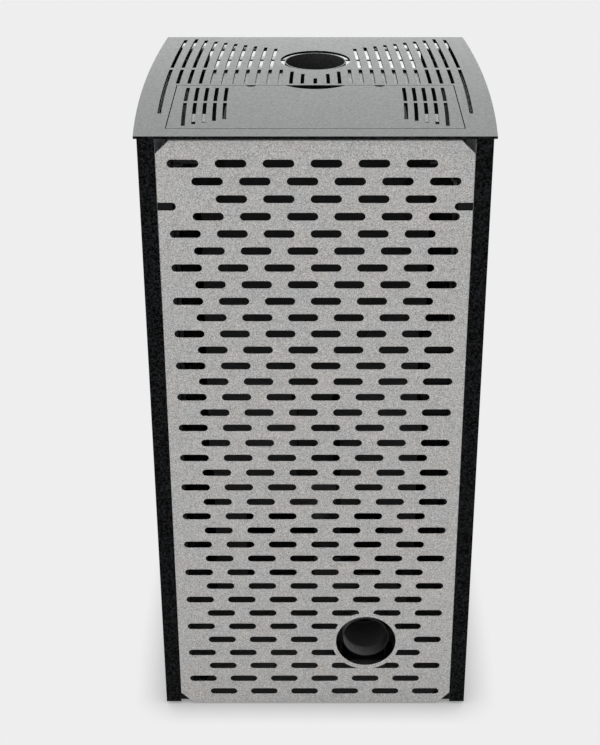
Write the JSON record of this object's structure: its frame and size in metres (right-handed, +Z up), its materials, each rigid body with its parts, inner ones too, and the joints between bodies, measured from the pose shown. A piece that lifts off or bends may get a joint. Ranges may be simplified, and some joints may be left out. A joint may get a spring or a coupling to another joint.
{
  "type": "pellet stove",
  "caption": "Free-standing pellet stove with bowed steel sides, slotted top and rear panel, rear hopper lid, glazed fire door and ash drawer.",
  "frame": {"origin": "on the floor under the middle of the stove's box, handle included", "axes": "+Z up, the fire door faces -Y, the slotted rear panel faces +Y, +X to the right seen from the front"},
  "size_m": [0.553, 0.58, 1.05],
  "materials": {
    "cabinet_paint": "satin fine texture",
    "plate_paint": "satin fine texture",
    "galvanised_sheet": "matte spangle",
    "raw_steel": "matte",
    "cast_iron": "rough",
    "lining_board": "matte",
    "zinc_steel": "satin",
    "handle_steel": "satin",
    "door_glass": "clear, slightly smoked",
    "gasket_rope": "woven",
    "seal_rubber": "matte",
    "black_plastic": "matte",
    "display": "gloss",
    "button_plastic": "matte",
    "cast_aluminium": "as cast",
    "motor_steel": "satin",
    "igniter_ceramic": "matte"
  },
  "bodies": {
    "cabinet": {"left_side_panel": "cabinet_paint", "right_side_panel": "cabinet_paint", "upper_fascia": "cabinet_paint", "lower_front_panel": "cabinet_paint", "lid_ledge": "cabinet_paint", "lid_hinge_brackets": "cabinet_paint", "top_plate": "plate_paint", "rear_panel": "galvanised_sheet", "heat_shield": "galvanised_sheet", "outlet_slats": "galvanised_sheet", "base_tray": "raw_steel", "rear_uprights": "raw_steel", "front_uprights": "raw_steel", "side_rails": "raw_steel", "firebox_shell": "raw_steel", "firebox_front": "raw_steel", "firebox_stand": "raw_steel", "door_pivot_plates": "raw_steel", "latch_keeper": "raw_steel", "pellet_hopper": "raw_steel", "auger_tube": "raw_steel", "pellet_chute": "raw_steel", "air_inlet_tube": "raw_steel", "air_duct": "raw_steel", "flue_collar": "raw_steel", "burn_pot_seat": "raw_steel", "fireback_lining": "lining_board", "side_linings": "lining_board", "baffle_plate": "lining_board", "lid_hinge_pins": "zinc_steel", "door_pivot_pins": "zinc_steel", "hopper_grid": "zinc_steel", "hopper_seal": "seal_rubber", "levelling_feet": "seal_rubber", "control_panel": "black_plastic", "control_box": "black_plastic", "display_window": "display", "fan_housing": "cast_aluminium", "fan_motor": "motor_steel", "auger_motor": "motor_steel", "igniter": "igniter_ceramic"},
    "lid": {"hopper_lid": "plate_paint", "lid_hinge_straps": "galvanised_sheet"},
    "door": {"door_frame": "cabinet_paint", "door_glass": "door_glass", "glass_gasket": "gasket_rope", "glass_clips": "zinc_steel", "door_gasket": "gasket_rope"},
    "latch": {"door_handle": "handle_steel", "latch_tongue": "zinc_steel"},
    "drawer": {"ash_drawer": "raw_steel", "drawer_pull": "handle_steel"},
    "pot": {"burn_pot": "cast_iron"},
    "auger": {"auger_shaft": "zinc_steel", "auger_flight": "zinc_steel"},
    "impeller": {"fan_impeller": "cast_aluminium"},
    "power_key": {"power_button": "button_plastic"},
    "menu_key": {"menu_button": "button_plastic"},
    "plus_key": {"plus_button": "button_plastic"},
    "minus_key": {"minus_button": "button_plastic"}
  },
  "joints": [
    {"name": "lid_hinge", "type": "hinge", "parent": "cabinet", "child": "lid", "pos_m": [0, 0.213, 1.037], "axis": [-1, 0, 0], "range_deg": [0, 95]},
    {"name": "door_hinge", "type": "hinge", "parent": "cabinet", "child": "door", "pos_m": [-0.23, -0.245, 0.6445], "axis": [0, 0, -1], "range_deg": [0, 100]},
    {"name": "latch_turn", "type": "hinge", "parent": "door", "child": "latch", "pos_m": [0.226, -0.257, 0.6445], "axis": [0, -1, 0], "range_deg": [0, 70]},
    {"name": "drawer_slide", "type": "slide", "parent": "cabinet", "child": "drawer", "axis": [0, -1, 0], "range_m": [0, 0.17]},
    {"name": "pot_lift", "type": "slide", "parent": "cabinet", "child": "pot", "axis": [0, 0, 1], "range_m": [0, 0.06]},
    {"name": "auger_spin", "type": "hinge", "parent": "cabinet", "child": "auger", "pos_m": [0, 0.201, 0.405], "axis": [0, -0.7071, 0.7071], "continuous": true},
    {"name": "impeller_spin", "type": "hinge", "parent": "cabinet", "child": "impeller", "pos_m": [-0.0875, 0.121, 0.136], "axis": [0, 1, 0], "continuous": true},
    {"name": "power_press", "type": "slide", "parent": "cabinet", "child": "power_key", "axis": [0, 1, 0], "range_m": [0, 0.0015], "stiffness_N_per_m": 400},
    {"name": "menu_press", "type": "slide", "parent": "cabinet", "child": "menu_key", "axis": [0, 1, 0], "range_m": [0, 0.0015], "stiffness_N_per_m": 400},
    {"name": "plus_press", "type": "slide", "parent": "cabinet", "child": "plus_key", "axis": [0, 1, 0], "range_m": [0, 0.0015], "stiffness_N_per_m": 400},
    {"name": "minus_press", "type": "slide", "parent": "cabinet", "child": "minus_key", "axis": [0, 1, 0], "range_m": [0, 0.0015], "stiffness_N_per_m": 400}
  ]
}
